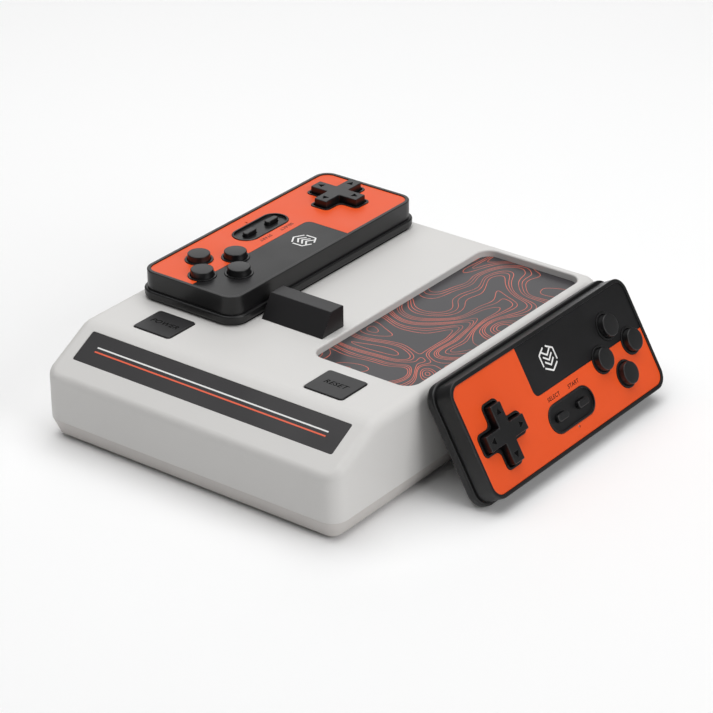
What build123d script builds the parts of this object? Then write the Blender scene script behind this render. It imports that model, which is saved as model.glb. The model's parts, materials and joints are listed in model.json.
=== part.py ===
from build123d import *
import math
import os

os.makedirs("parts", exist_ok=True)

# Frame: millimetres, +X to the right along the console's front, +Y to its back, +Z up.
# The origin is on the table, under the middle of the console.

# ---- hand controller, in its own frame: X along its length, Y up its face, Z out of its face ----
plate_length = 124.0          # inlaid face plate
plate_width = 47.8
plate_corner = 5.0
plate_thick = 1.2
plate_gap = 0.15              # between a plate and what surrounds it
rim_width = 1.8               # raised edge of the front shell round the plates
rim_height = 0.4
face_wall = 1.5               # front shell's wall behind the plates
pad_wall = 1.6                # other walls of the controller
front_shell_height = 8.1      # from the plate's face down to the back shell's flange
flange_overhang = 1.4
flange_height = 4.5
back_height = 3.0             # stepped back, which nests in the console's bay
back_inset_length = 3.7       # from the flange's end to the stepped back
back_inset_width = 2.5        # from the flange's side to the stepped back
back_corner = 5.5
back_edge = 1.2
flange_edge = 0.8
locating_lip = 1.5            # how far the back shell reaches into the front shell
flange_round = 2.0

button_radius = 4.95
button_offset = 11.1          # from the middle of the four buttons to each one
button_proud = 3.3
button_travel = 1.2
button_from_end = 20.6        # from the plate's end to the middle of the four buttons
button_drop = 0.8             # from the plate's centre line down to that middle
button_edge = 0.7
button_clear = 0.4
ring_wall = 0.8
ring_proud = 0.35
flange_step = 1.2             # how far a button's hidden flange stands out
flange_thick = 1.0

dpad_span = 25.6
dpad_arm = 6.8
dpad_proud = 3.4
dpad_edge = 0.25
dpad_corner = 0.5
dpad_hole_corner = 1.6
dpad_ring_corner = 2.4
arrow_radius = 1.9
arrow_depth = 0.45
arrow_inset = 3.6             # from an arm's end to the middle of its arrow
dpad_from_end = 17.5
dpad_drop = 3.0
dpad_clear = 0.9
dpad_disc_radius = 14.5
dpad_tilt_room = 1.15
pivot_radius = 1.0

menu_length = 32.0            # oval recess that holds the two menu buttons
menu_width = 12.8
menu_shift = 0.5
menu_drop = 11.2
menu_sink = 0.6
menu_button_length = 7.6
menu_button_width = 3.1
menu_button_spacing = 15.0
menu_button_proud = 1.3
menu_button_edge = 0.5
menu_bezel_edge = 0.3
menu_button_travel = 0.8
menu_clear = 0.25

black_left = -17.0            # left edge and lower edge of the black part of the face
black_bottom = 1.5
black_corner = 3.0

light_radius = 0.6
light_shift = 0.7
light_drop = 19.0
light_sink = 0.4

board_thick = 1.2
board_corner = 1.5
board_face = -7.0             # circuit board's upper face
board_margin = 2.6            # from the plate's edge to the board's edge
rubber_sheet = 0.8
rubber_corner = 4.0
rubber_margin = 1.0           # of a contact sheet, beyond its outermost button
menu_rubber_inset = 1.5       # of the menu buttons' sheet, inside their bezel
button_dome_radius = 3.4
menu_dome_radius = 1.8
dpad_dome_radius = 2.6
dpad_dome_height = 0.2
dpad_dome_inset = 3.4         # from an arm's end to the middle of its dome
battery_size = (42.0, 26.0, 4.4)
battery_corner = 1.5
battery_shift = 3.0           # away from the charging socket
usb_size = (9.0, 7.4, 3.2)    # socket: across, deep, high
usb_tongue = (6.6, 0.7)
socket_wall = 0.3
tongue_setback = 1.0          # of a socket's tongue behind its mouth
usb_clear = 0.3
screw_inset = 5.2
pad_boss_radius = 2.6
pad_screw_radius = 1.0
pad_screw_head = 2.1
pad_screw_head_depth = 1.6
pad_screw_sink = 1.0
pad_screw_short = 1.0         # from a screw's tip to the bottom of its hole
thread_clear = 0.05
screw_slot = (3.0, 0.6, 0.7)  # cross slot: long, wide, deep
fit = 0.1                     # gap between pieces that only have to clear each other

# ---- console ----
foot_height = 1.5
foot_radius = 6.0
foot_sink = 0.8
foot_inset = 22.0
case_height = 42.7            # from the base shell's underside to the top
band_height = 7.6             # inclined band round the bottom
band_inset = 3.2
front_face_height = 28.3      # from the underside to the foot of the sloping panel
slope_depth = 26.8
case_wall = 2.2
case_corner = 7.5
case_edge = 4.3
crest_round = 12.0

bay_clear_length = 1.2        # each side, between a bay and a controller's stepped back
bay_clear_width = 1.1
bay_depth = 3.1
bay_corner = 6.5
bay_lip = 0.8
panel_thick = 0.8
dock_gap = 0.15               # under the flange of a docked controller
side_rim = 6.4                # top surface outside each bay
centre_gap = 39.4             # between the two bays
front_deck = 58.0             # from the front face to the bays
back_rim = 5.6

strip_margin = 9.1            # from each side of the case
strip_width = 15.4
strip_thick = 1.0
strip_rise = 18.4             # from the slope's foot to the strip's middle, along the slope
strip_corner = 0.8

key_length = 19.7             # power and reset buttons
key_width = 17.6
key_corner = 1.4
key_proud = 0.6
key_travel = 0.5
key_edge = 0.3
key_clear = 0.35
key_from_front = 42.0
key_flange = 1.3
key_stem_radius = 2.5
key_stem_length = 3.0
switch_size = (6.0, 6.0, 3.6)
key_board_width = 16.0
key_board_thick = 1.6
key_board_end = 3.0           # from the outer posts to the board's ends
key_post_spread = 16.0        # from a button's middle to the board posts beside it
key_post_radius = 2.4

lever_length = 32.2
lever_height = 9.9
lever_top = 8.1
lever_edge = 0.5
lever_base = 14.7
lever_from_front = 78.0       # to the middle of its base
lever_lift = 0.15
lever_travel = 5.0
stem_length = 12.0
stem_depth = 4.0
stem_clear = 0.3
shoe_size = (17.0, 9.0, 1.8)
shoe_corner = 1.0
hook_size = (3.0, 1.2, 4.0)   # hook and post that hold the return spring
post_thick = 2.0
spring_radius = 2.2
spring_wire = 0.7
spring_turns = 9
spring_length = 18.0
spring_drop = 2.4             # from the shoe to the spring's middle

main_board_size = (104.0, 62.0, 1.6)
standoff_height = 4.0
standoff_radius = 3.0
standoff_inset = 4.0
chip_size = (15.0, 15.0, 1.4)
sink_size = (22.0, 22.0, 7.5)
sink_base = 1.8
fin_count = 7
fin_thick = 1.0
receiver_place = (-34.0, -10.0)  # from the main board's middle
receiver_size = (20.0, 14.0, 1.0)
can_size = (12.0, 9.0, 1.6)
can_corner = 0.8
main_board_setback = 1.5      # from the back wall to the board
board_screw_head = (2.0, 1.2)
board_screw_grip = 2.6        # thread below the main board
post_screw_grip = 4.0         # thread above the button board
post_hole_depth = 6.0
plunger_size = (1.7, 0.8)
video_size = (15.0, 11.5, 5.6)
video_mouth = (14.2, 4.8)
video_tongue = (11.0, 1.2)
power_size = usb_size
card_size = (14.0, 15.0, 1.9)
card_mouth = (12.0, 1.1)
card_tongue = (10.0, 0.3)
port_sink = 0.8
port_clear = 0.3
power_port_x = -36.0
video_port_x = -8.0
card_port_x = 22.0

boss_radius = 3.6
post_radius = 4.6
post_top = 12.0
case_screw_radius = 1.5
case_screw_head = 2.9
case_screw_head_depth = 2.0
case_screw_sink = 3.0
case_screw_length = 18.0
case_screw_slot = 0.8         # its width and depth
post_foot = 1.0               # from the underside to a screw post's foot
front_boss_from_side = 8.5
front_boss_from_front = 34.0
back_boss_from_side = 17.5
back_boss_from_back = 14.5
lip_height = 2.4
lip_wall = 1.2
vent_count = 8
vent_length = 34.0
vent_width = 2.0
vent_spacing = 6.0

lean_angle = 30.0             # of the second controller from the vertical
lean_gap = 0.25
lean_from_front = 119.4

# ---- sizes that follow from the ones above ----
shell_length = plate_length + 2 * rim_width
shell_width = plate_width + 2 * rim_width
shell_corner = plate_corner + rim_width
flange_length = shell_length + 2 * flange_overhang
flange_width = shell_width + 2 * flange_overhang
flange_corner = shell_corner + flange_overhang
back_length = flange_length - 2 * back_inset_length
back_width = flange_width - 2 * back_inset_width
flange_top = -front_shell_height
flange_bottom = flange_top - flange_height
pad_bottom = flange_bottom - back_height
recess_floor = -plate_thick
face_inner = recess_floor - face_wall
board_bottom = board_face - board_thick
sheet_top = board_face + rubber_sheet
buttons_x = plate_length / 2 - button_from_end
dpad_x = dpad_from_end - plate_length / 2
button_hole = button_radius + button_clear
ring_radius = button_hole + ring_wall
button_flange_top = face_inner - 2 * fit
button_bottom = button_flange_top - flange_thick
disc_top = face_inner - dpad_tilt_room
disc_bottom = disc_top - flange_thick
pivot_z = board_face + fit + pivot_radius
screw_seat = pad_bottom + pad_screw_sink + pad_screw_head_depth
screw_x = plate_length / 2 - screw_inset
screw_y = plate_width / 2 - screw_inset
button_places = {
    "top_button": (buttons_x, button_offset - button_drop),
    "right_button": (buttons_x + button_offset, -button_drop),
    "bottom_button": (buttons_x, -button_offset - button_drop),
    "left_button": (buttons_x - button_offset, -button_drop),
}
menu_places = {
    "select_button": (menu_shift - menu_button_spacing / 2, -menu_drop),
    "start_button": (menu_shift + menu_button_spacing / 2, -menu_drop),
}

bay_length = back_length + 2 * bay_clear_length
bay_width = back_width + 2 * bay_clear_width
bay_x = (centre_gap + bay_width) / 2
case_width = centre_gap + 2 * (bay_width + side_rim)
case_depth = front_deck + bay_length + back_rim
case_front = -case_depth / 2
case_back = case_depth / 2
bay_y = case_front + front_deck + bay_length / 2
case_bottom = foot_height
case_top = case_bottom + case_height
split = case_bottom + band_height
deck_under = case_top - case_wall
bay_floor = case_top - bay_depth - panel_thick
base_floor = case_bottom + case_wall
slope_angle = math.atan2(case_height - front_face_height, slope_depth)
main_board_bottom = base_floor + standoff_height
main_board_top = main_board_bottom + main_board_size[2]
main_board_y = case_back - case_wall - main_board_setback - main_board_size[1] / 2
key_x = bay_x
key_y = case_front + key_from_front
key_post_x = (key_x - key_post_spread, key_x + key_post_spread)
key_board_length = 2 * (key_post_x[1] + key_board_end)
strip_length = case_width - 2 * strip_margin
front_boss_x = case_width / 2 - front_boss_from_side
back_boss_x = case_width / 2 - back_boss_from_side
key_flange_top = deck_under - fit
key_stem_bottom = key_flange_top - flange_thick - key_stem_length
switch_top = key_stem_bottom - key_travel - fit
key_board_top = switch_top - switch_size[2]
lever_y = case_front + lever_from_front
lever_bottom = case_top + lever_lift
shoe_top = deck_under - 2 * fit
boss_places = [
    (-front_boss_x, case_front + front_boss_from_front, deck_under),
    (front_boss_x, case_front + front_boss_from_front, deck_under),
    (-back_boss_x, case_back - back_boss_from_back, bay_floor - case_wall),
    (back_boss_x, case_back - back_boss_from_back, bay_floor - case_wall),
]
key_posts = [(side * x, key_y) for side in (-1, 1) for x in key_post_x]
standoffs = [
    (
        side * (main_board_size[0] / 2 - standoff_inset),
        main_board_y + end * (main_board_size[1] / 2 - standoff_inset),
    )
    for side in (-1, 1)
    for end in (-1, 1)
]
feet = [
    (side * (case_width / 2 - foot_inset), end * (case_depth / 2 - foot_inset))
    for side in (-1, 1)
    for end in (-1, 1)
]


def slab(length, width, corner, low, high):
    """Upright prism with rounded corners between two heights."""
    return Pos(0, 0, low) * extrude(RectangleRounded(length, width, corner), amount=high - low)


def block(length, width, low, high, x=0.0, y=0.0):
    """Upright box between two heights."""
    return Pos(x, y, low) * extrude(Rectangle(length, width), amount=high - low)


def rod(radius, low, high, x=0.0, y=0.0):
    """Upright cylinder between two heights."""
    return Pos(x, y, low) * extrude(Circle(radius), amount=high - low)


def oval(length, width, low, high, x=0.0, y=0.0):
    """Upright prism with half-round ends, along X."""
    return Pos(x, y, low) * extrude(SlotOverall(length, width), amount=high - low)


def cross(span, arm, corner, low, high):
    """Upright four-armed prism with all its corners rounded."""
    outline = Rectangle(span, arm) + Rectangle(arm, span)
    outline = fillet(outline.vertices(), corner)
    return Pos(dpad_x, -dpad_drop, low) * extrude(outline, amount=high - low)


def top_edges(shape):
    """Edges round the highest flat face."""
    return shape.faces().sort_by(Axis.Z)[-1].edges()


def group(solids):
    """Several separate solids kept in one file."""
    return Compound(children=solids)


# ---- hand controller ----


def pad_front_shell():
    """Shallow shell with a raised rim, a recess for the plates and a collar at each button."""
    shell = slab(shell_length, shell_width, shell_corner, flange_top, rim_height)
    shell = fillet(top_edges(shell), rim_height)
    shell -= slab(
        shell_length - 2 * pad_wall,
        shell_width - 2 * pad_wall,
        shell_corner - pad_wall,
        flange_top,
        face_inner,
    )
    shell -= slab(
        plate_length + 2 * plate_gap,
        plate_width + 2 * plate_gap,
        plate_corner + plate_gap,
        recess_floor,
        rim_height,
    )
    for x, y in button_places.values():
        shell += rod(ring_radius, recess_floor, ring_proud, x, y)
        shell -= rod(button_hole, face_inner, ring_proud, x, y)
    hole_span = dpad_span + 2 * dpad_clear
    hole_arm = dpad_arm + 2 * dpad_clear
    ring_span = hole_span + 2 * ring_wall
    ring_arm = hole_arm + 2 * ring_wall
    shell += cross(ring_span, ring_arm, dpad_ring_corner, recess_floor, ring_proud)
    shell -= cross(hole_span, hole_arm, dpad_hole_corner, face_inner, ring_proud)
    menu_hole = (menu_length - 2 * ring_wall, menu_width - 2 * ring_wall)
    shell -= oval(menu_hole[0], menu_hole[1], face_inner, recess_floor, menu_shift, -menu_drop)
    shell -= rod(light_radius, face_inner, recess_floor, light_shift, -light_drop)
    for x in (-screw_x, screw_x):
        for y in (-screw_y, screw_y):
            shell += rod(pad_boss_radius, flange_top, face_inner, x, y)
            shell -= rod(pad_screw_radius, flange_top, face_inner, x, y)
    return shell


def pad_back_shell():
    """Flanged tray with a stepped back, a locating lip, screw posts and the charging opening."""
    tray = slab(flange_length, flange_width, flange_corner, flange_bottom, flange_top)
    tray = fillet(top_edges(tray), flange_edge)
    tray = fillet(tray.faces().sort_by(Axis.Z)[0].edges(), flange_round)
    step = slab(back_length, back_width, back_corner, pad_bottom, flange_bottom)
    step = fillet(step.faces().sort_by(Axis.Z)[0].edges(), back_edge)
    tray += step
    inner_length = shell_length - 2 * pad_wall
    inner_width = shell_width - 2 * pad_wall
    inner_corner = shell_corner - pad_wall
    tray += slab(
        inner_length - 2 * fit,
        inner_width - 2 * fit,
        inner_corner - fit,
        flange_top,
        flange_top + locating_lip,
    )
    tray -= slab(
        back_length - 2 * pad_wall,
        back_width - 2 * pad_wall,
        back_corner - pad_wall,
        pad_bottom + pad_wall,
        flange_top + locating_lip,
    )
    for x in (-screw_x, screw_x):
        for y in (-screw_y, screw_y):
            tray -= rod(pad_boss_radius + fit, flange_top, flange_top + locating_lip, x, y)
            tray += rod(pad_boss_radius, pad_bottom + pad_wall, flange_top, x, y)
            tray -= rod(pad_screw_radius, pad_bottom, flange_top, x, y)
            tray -= rod(pad_screw_head + fit, pad_bottom, screw_seat, x, y)
    opening = oval(usb_size[0] + 2 * usb_clear, usb_size[2] + 2 * usb_clear, 0.0, flange_width)
    opening = Pos(0, -flange_width, board_bottom - usb_size[2] / 2) * Rot(-90, 0, 0) * opening
    lip_top = flange_top + locating_lip
    tray -= opening & block(flange_length, flange_width, pad_bottom, lip_top, 0, -flange_width / 2)
    return tray


def black_region(low, high, grow):
    """Upper right part of the face, cut to the plate's outline."""
    right = plate_length / 2
    top = plate_width / 2
    length = right - black_left + black_corner
    width = top - black_bottom + black_corner
    area = slab(length + 2 * grow, width + 2 * grow, black_corner + grow, low, high)
    area = Pos(black_left + length / 2, black_bottom + width / 2, 0) * area
    return area & slab(plate_length, plate_width, plate_corner, low, high)


def plate_holes():
    """Everything that passes through the face plates."""
    holes = []
    for x, y in button_places.values():
        holes.append(rod(ring_radius + plate_gap, recess_floor, 0, x, y))
    bezel_span = dpad_span + 2 * (dpad_clear + ring_wall + plate_gap)
    bezel_arm = dpad_arm + 2 * (dpad_clear + ring_wall + plate_gap)
    holes.append(cross(bezel_span, bezel_arm, dpad_ring_corner + plate_gap, recess_floor, 0))
    holes.append(
        oval(
            menu_length + 2 * plate_gap,
            menu_width + 2 * plate_gap,
            recess_floor,
            0,
            menu_shift,
            -menu_drop,
        )
    )
    holes.append(rod(light_radius, recess_floor, 0, light_shift, -light_drop))
    return holes


def pad_orange_plate():
    """Inlaid plate that covers the whole face but the black part."""
    plate = slab(plate_length, plate_width, plate_corner, recess_floor, 0)
    plate -= black_region(recess_floor, 0, plate_gap)
    for hole in plate_holes():
        plate -= hole
    return plate


def pad_black_plate():
    """Inlaid plate in the upper right of the face."""
    plate = black_region(recess_floor, 0, 0.0)
    for hole in plate_holes():
        plate -= hole
    return plate


def pad_menu_bezel():
    """Oval tray with a raised rim, which the two menu buttons stand in."""
    bezel = oval(menu_length, menu_width, recess_floor, ring_proud, menu_shift, -menu_drop)
    bezel = fillet(top_edges(bezel), menu_bezel_edge)
    plug_length = menu_length - 2 * ring_wall - 2 * fit
    plug_width = menu_width - 2 * ring_wall - 2 * fit
    bezel += oval(plug_length, plug_width, face_inner, recess_floor, menu_shift, -menu_drop)
    bezel -= oval(
        menu_length - 2 * ring_wall,
        menu_width - 2 * ring_wall,
        -menu_sink,
        ring_proud,
        menu_shift,
        -menu_drop,
    )
    for x, y in menu_places.values():
        bezel -= oval(
            menu_button_length + 2 * menu_clear,
            menu_button_width + 2 * menu_clear,
            face_inner,
            -menu_sink,
            x,
            y,
        )
    return bezel


def pad_round_button(x, y):
    """Round button with a softened top and a hidden flange."""
    cap = rod(button_radius, button_bottom, button_proud, x, y)
    cap = fillet(top_edges(cap), button_edge)
    return cap + rod(button_radius + flange_step, button_bottom, button_flange_top, x, y)


def pad_menu_button(x, y):
    """Bar button with half-round ends and a hidden flange."""
    cap = oval(menu_button_length, menu_button_width, button_bottom, menu_button_proud, x, y)
    cap = fillet(top_edges(cap), menu_button_edge)
    length = menu_button_length + 2 * flange_step
    width = menu_button_width + 2 * flange_step
    return cap + oval(length, width, button_bottom, button_flange_top, x, y)


def pad_dpad():
    """Cross button on a hidden disc, with an arrow sunk in each arm."""
    cap = cross(dpad_span, dpad_arm, dpad_corner, disc_bottom, dpad_proud)
    cap = chamfer(top_edges(cap), dpad_edge)
    cap += rod(dpad_disc_radius, disc_bottom, disc_top, dpad_x, -dpad_drop)
    arrow = extrude(RegularPolygon(arrow_radius, 3), amount=arrow_depth)
    for turn in range(4):
        placed = Rot(0, 0, 90 * turn) * Pos(dpad_span / 2 - arrow_inset, 0, 0) * arrow
        cap -= Pos(dpad_x, -dpad_drop, dpad_proud - arrow_depth) * placed
    return cap


def pad_dpad_pivot():
    """Ball that the cross button rocks on."""
    return Pos(dpad_x, -dpad_drop, pivot_z) * Sphere(pivot_radius)


def post_notches(low, high):
    """Room round the controller's four screw posts."""
    return [
        rod(pad_boss_radius + 3 * fit, low, high, x, y)
        for x in (-screw_x, screw_x)
        for y in (-screw_y, screw_y)
    ]


def pad_rubbers():
    """Rubber contact sheets with a low dome under each button, notched round the screw posts."""
    dome_high = button_bottom - button_travel - fit
    size = 2 * (button_offset + button_radius + rubber_margin)
    buttons = slab(size, size, rubber_corner, board_face, sheet_top)
    buttons = Pos(buttons_x, -button_drop, 0) * buttons
    for x, y in button_places.values():
        buttons += rod(button_dome_radius, sheet_top, dome_high, x, y)
    size = dpad_span + 2 * rubber_margin
    cross_sheet = slab(size, size, rubber_corner, board_face, sheet_top)
    cross_sheet -= rod(pivot_radius + 5 * fit, board_face, sheet_top)
    arm_middle = dpad_span / 2 - dpad_dome_inset
    dome = rod(dpad_dome_radius, sheet_top, sheet_top + dpad_dome_height, arm_middle)
    for turn in range(4):
        cross_sheet += Rot(0, 0, 90 * turn) * dome
    cross_sheet = Pos(dpad_x, -dpad_drop, 0) * cross_sheet
    for notch in post_notches(board_face, sheet_top):
        buttons -= notch
        cross_sheet -= notch
    length = menu_length - 2 * menu_rubber_inset
    width = menu_width - 2 * menu_rubber_inset
    menu = oval(length, width, board_face, sheet_top, menu_shift, -menu_drop)
    for x, y in menu_places.values():
        menu += rod(menu_dome_radius, sheet_top, dome_high, x, y)
    return group([buttons, cross_sheet, menu])


def pad_circuit_board():
    """Board that carries every contact, notched round the screw posts."""
    board = slab(
        plate_length - 2 * board_margin,
        plate_width - 2 * board_margin,
        plate_corner,
        board_bottom,
        board_face,
    )
    for notch in post_notches(board_bottom, board_face):
        board -= notch
    return board


def pad_battery():
    """Flat rechargeable cell under the board, with its edges rounded."""
    top = board_bottom - 2 * fit
    cell = slab(battery_size[0], battery_size[1], battery_corner, top - battery_size[2], top)
    return Pos(0, battery_shift, 0) * cell


def round_socket():
    """Charging socket along Y with its mouth at the origin, facing -Y."""
    across, deep, high = usb_size
    shell = extrude(Plane.XZ * SlotOverall(across, high), amount=-deep)
    inner = SlotOverall(across - 2 * socket_wall, high - 2 * socket_wall)
    hollow = extrude(Plane.XZ * inner, amount=-(deep - socket_wall))
    tongue = extrude(Plane.XZ * Rectangle(*usb_tongue), amount=-(deep - tongue_setback))
    return shell - hollow + Pos(0, tongue_setback, 0) * tongue


def pad_charge_port():
    """Charging socket under the board, facing the controller's lower edge."""
    mouth = -flange_width / 2 + port_sink
    return Pos(0, mouth, board_bottom - usb_size[2] / 2) * round_socket()


def pad_status_light():
    """Light pipe from the board up to its pinhole."""
    return rod(light_radius - fit, board_face, -light_sink, light_shift, -light_drop)


def pad_screws():
    """Four screws driven in from the back."""
    screws = []
    low = screw_seat - pad_screw_head_depth
    long, wide, deep = screw_slot
    screw = rod(pad_screw_head, low, screw_seat)
    screw -= block(long, wide, low, low + deep) + block(wide, long, low, low + deep)
    screw += rod(pad_screw_radius - thread_clear, screw_seat, face_inner - pad_screw_short)
    for x in (-screw_x, screw_x):
        for y in (-screw_y, screw_y):
            screws.append(Pos(x, y, 0) * screw)
    return group(screws)


def pad_pieces():
    """Every piece of one controller, in the controller's own frame."""
    pieces = {
        "front_shell": pad_front_shell(),
        "back_shell": pad_back_shell(),
        "orange_plate": pad_orange_plate(),
        "black_plate": pad_black_plate(),
        "menu_bezel": pad_menu_bezel(),
        "dpad": pad_dpad(),
        "dpad_pivot": pad_dpad_pivot(),
        "rubber_contacts": pad_rubbers(),
        "circuit_board": pad_circuit_board(),
        "battery": pad_battery(),
        "charge_port": pad_charge_port(),
        "status_light": pad_status_light(),
        "screws": pad_screws(),
    }
    for name, (x, y) in button_places.items():
        pieces[name] = pad_round_button(x, y)
    for name, (x, y) in menu_places.items():
        pieces[name] = pad_menu_button(x, y)
    return pieces


# ---- console ----


def case_form(inset, bottom):
    """Console's outer form moved inward by the inset: upright walls, sloping front, rounded edges."""
    front = case_front + inset
    back = case_back - inset
    top = case_top - inset
    rise = math.tan(slope_angle)
    sink = inset / math.cos(slope_angle)
    foot = case_bottom + front_face_height + inset * rise - sink
    crest = case_front + (top - case_bottom - front_face_height + sink) / rise
    outline = [(front, bottom), (front, foot), (crest, top), (back, top), (back, bottom)]
    side = make_face(Polyline(*outline, close=True))
    form = extrude(Plane.YZ * side, amount=case_width / 2 - inset, both=True)
    crest_edges = [
        edge
        for edge in form.edges().filter_by(Axis.X)
        if abs(edge.center().Y - crest) < 0.01 and abs(edge.center().Z - top) < 0.01
    ]
    form = fillet(crest_edges, crest_round)
    form = fillet(form.edges().filter_by(Axis.Z), case_corner - inset)
    lid = [face for face in form.faces() if face.normal_at().Z > 0.1]
    rims = [edge for face in lid for edge in face.edges()]
    outer = [edge for edge in rims if sum(edge == other for other in rims) == 1]
    return fillet(outer, case_edge - inset)


def both_sides(shape):
    """The shape and its mirror image in the console's middle plane."""
    return [shape, mirror(shape, about=Plane.YZ)]


def bay_slab(grow, low, high):
    """Rounded block over the right-hand bay."""
    form = slab(bay_width + 2 * grow, bay_length + 2 * grow, bay_corner + grow, low, high)
    return Pos(bay_x, bay_y, 0) * form


def strip_plane():
    """Plane of the sloping panel at the middle of its strip."""
    y = case_front + strip_rise * math.cos(slope_angle)
    z = case_bottom + front_face_height + strip_rise * math.sin(slope_angle)
    normal = (0, -math.sin(slope_angle), math.cos(slope_angle))
    return Plane(origin=(0, y, z), x_dir=(1, 0, 0), z_dir=normal)


def strip_form(grow):
    """Flat strip let into the sloping panel."""
    outline = RectangleRounded(strip_length + 2 * grow, strip_width + 2 * grow, strip_corner + grow)
    return extrude(strip_plane() * outline, amount=-strip_thick)


def port_openings():
    """Openings in the back wall for the three sockets."""
    cuts = []
    deep = 3 * case_wall
    for x, size in ((power_port_x, power_size), (video_port_x, video_size), (card_port_x, card_size)):
        low = main_board_top - port_clear
        high = main_board_top + size[2] + port_clear
        cuts.append(block(size[0] + 2 * port_clear, 2 * deep, low, high, x, case_back))
    return cuts


def top_shell():
    """Upper case: bays, button openings, lever slot, strip recess and screw bosses."""
    shell = case_form(0.0, split) - case_form(case_wall, split)
    for pocket in both_sides(bay_slab(case_wall, bay_floor - case_wall, deck_under)):
        shell += pocket
    for recess in both_sides(bay_slab(0.0, bay_floor, case_top)):
        shell -= recess
    lips = [
        edge
        for edge in shell.edges()
        if abs(edge.bounding_box().min.Z - case_top) < 0.001
        and abs(abs(edge.center().X) - bay_x) <= bay_width / 2 + 0.1
        and abs(edge.center().Y - bay_y) <= bay_length / 2 + 0.1
    ]
    shell = fillet(lips, bay_lip)
    key_hole = slab(
        key_length + 2 * key_clear,
        key_width + 2 * key_clear,
        key_corner + key_clear,
        deck_under,
        case_top,
    )
    for hole in both_sides(Pos(key_x, key_y, 0) * key_hole):
        shell -= hole
    slot_depth = stem_depth + lever_travel + 2 * stem_clear
    slot_y = lever_y - lever_travel / 2
    shell -= block(stem_length + 2 * stem_clear, slot_depth, deck_under, case_top, 0, slot_y)
    shell -= strip_form(plate_gap)
    for x, y, high in boss_places:
        shell += rod(boss_radius, post_top + fit, high, x, y)
        shell -= rod(case_screw_radius, post_top + fit, post_top + case_screw_length, x, y)
    for x, y in key_posts:
        shell += rod(key_post_radius, key_board_top, deck_under, x, y)
        shell -= rod(pad_screw_radius, key_board_top, key_board_top + post_hole_depth, x, y)
    shell += spring_post()
    for cut in port_openings():
        shell -= cut
    return shell


def upright_form(inset, low, high):
    """Upright block over the case's outline, moved inward by the inset."""
    return slab(case_width - 2 * inset, case_depth - 2 * inset, case_corner - inset, low, high)


def band_form(inset, low, high):
    """Block between two heights with the bottom band's inclined sides."""
    def outline_at(z):
        shrink = inset + band_inset * (split - z) / band_height
        return Pos(0, 0, z) * RectangleRounded(
            case_width - 2 * shrink, case_depth - 2 * shrink, case_corner - shrink
        )

    return loft([outline_at(low), outline_at(high)], ruled=True)


def base_shell():
    """Lower case: inclined band, floor, locating lip, posts, standoffs, vents and foot recesses."""
    base = band_form(0.0, case_bottom, split)
    base -= band_form(case_wall, base_floor, split)
    lip_gap = case_wall + fit
    lip_low = split - lip_wall
    base += upright_form(lip_gap, lip_low, split + lip_height)
    base -= upright_form(lip_gap + lip_wall, lip_low, split + lip_height)
    head_seat = case_bottom + case_screw_sink + case_screw_head_depth
    for x, y, _ in boss_places:
        base += rod(post_radius, case_bottom + post_foot, post_top, x, y)
        base -= rod(case_screw_head + 2 * fit, case_bottom, head_seat, x, y)
        base -= rod(case_screw_radius + fit, case_bottom, post_top, x, y)
    for x, y in standoffs:
        base += rod(standoff_radius, base_floor, main_board_bottom, x, y)
        base -= rod(pad_screw_radius, base_floor, main_board_bottom, x, y)
    for x, y in feet:
        base -= rod(foot_radius + fit, case_bottom, case_bottom + foot_sink, x, y)
    for index in range(vent_count):
        x = (index - (vent_count - 1) / 2) * vent_spacing
        base -= Pos(x, 0, 0) * Rot(0, 0, 90) * oval(vent_length, vent_width, case_bottom, base_floor)
    for cut in port_openings():
        base -= cut
    return base


def front_strip():
    """Dark strip let into the sloping panel."""
    return strip_form(0.0)


def bay_panel():
    """Patterned floor panel of the right-hand bay."""
    return bay_slab(-plate_gap, bay_floor, bay_floor + panel_thick)


def key_button():
    """Square button with a hidden flange and a stem, for the right-hand side."""
    cap = slab(key_length, key_width, key_corner, key_flange_top, case_top + key_proud)
    cap = fillet(top_edges(cap), key_edge)
    flange = slab(
        key_length + 2 * key_flange,
        key_width + 2 * key_flange,
        key_corner + key_flange,
        key_flange_top - flange_thick,
        key_flange_top,
    )
    stem = rod(key_stem_radius, key_stem_bottom, key_flange_top - flange_thick)
    return Pos(key_x, key_y, 0) * (cap + flange + stem)


def key_switches():
    """Two push switches on the button board."""
    plunger_radius, plunger_height = plunger_size
    body = block(switch_size[0], switch_size[1], key_board_top, switch_top - plunger_height)
    plunger = rod(plunger_radius, switch_top - plunger_height, switch_top)
    return group(both_sides(Pos(key_x, key_y, 0) * (body + plunger)))


def key_board():
    """Narrow board under the power and reset buttons."""
    thick = key_board_thick
    board = slab(key_board_length, key_board_width, board_corner, key_board_top - thick, key_board_top)
    board = Pos(0, key_y, 0) * board
    for x, y in key_posts:
        board -= rod(pad_screw_radius + fit, key_board_top - thick, key_board_top, x, y)
    return board


def eject_lever():
    """Wedge-fronted block on a stem that passes through the deck."""
    front = -lever_base / 2
    back = lever_base / 2
    outline = [(front, 0), (back, 0), (back, lever_height), (back - lever_top, lever_height)]
    knob = make_face(Polyline(*outline, close=True))
    knob = extrude(Plane.YZ * knob, amount=lever_length / 2, both=True)
    knob = fillet(top_edges(knob), lever_edge)
    knob = Pos(0, lever_y, lever_bottom) * knob
    stem = block(stem_length, stem_depth, shoe_top, lever_bottom, 0, lever_y)
    return knob + stem


def lever_shoe():
    """Retainer under the deck, screwed to the lever's stem."""
    length, depth, thick = shoe_size
    shoe = slab(length, depth, shoe_corner, shoe_top - thick, shoe_top)
    shoe -= rod(pad_screw_radius, shoe_top - thick, shoe_top)
    wide, hook_thick, reach = hook_size
    hook = block(wide, hook_thick, shoe_top - thick - reach, shoe_top - thick, 0, (depth - hook_thick) / 2)
    return Pos(0, lever_y, 0) * (shoe + hook)


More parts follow.
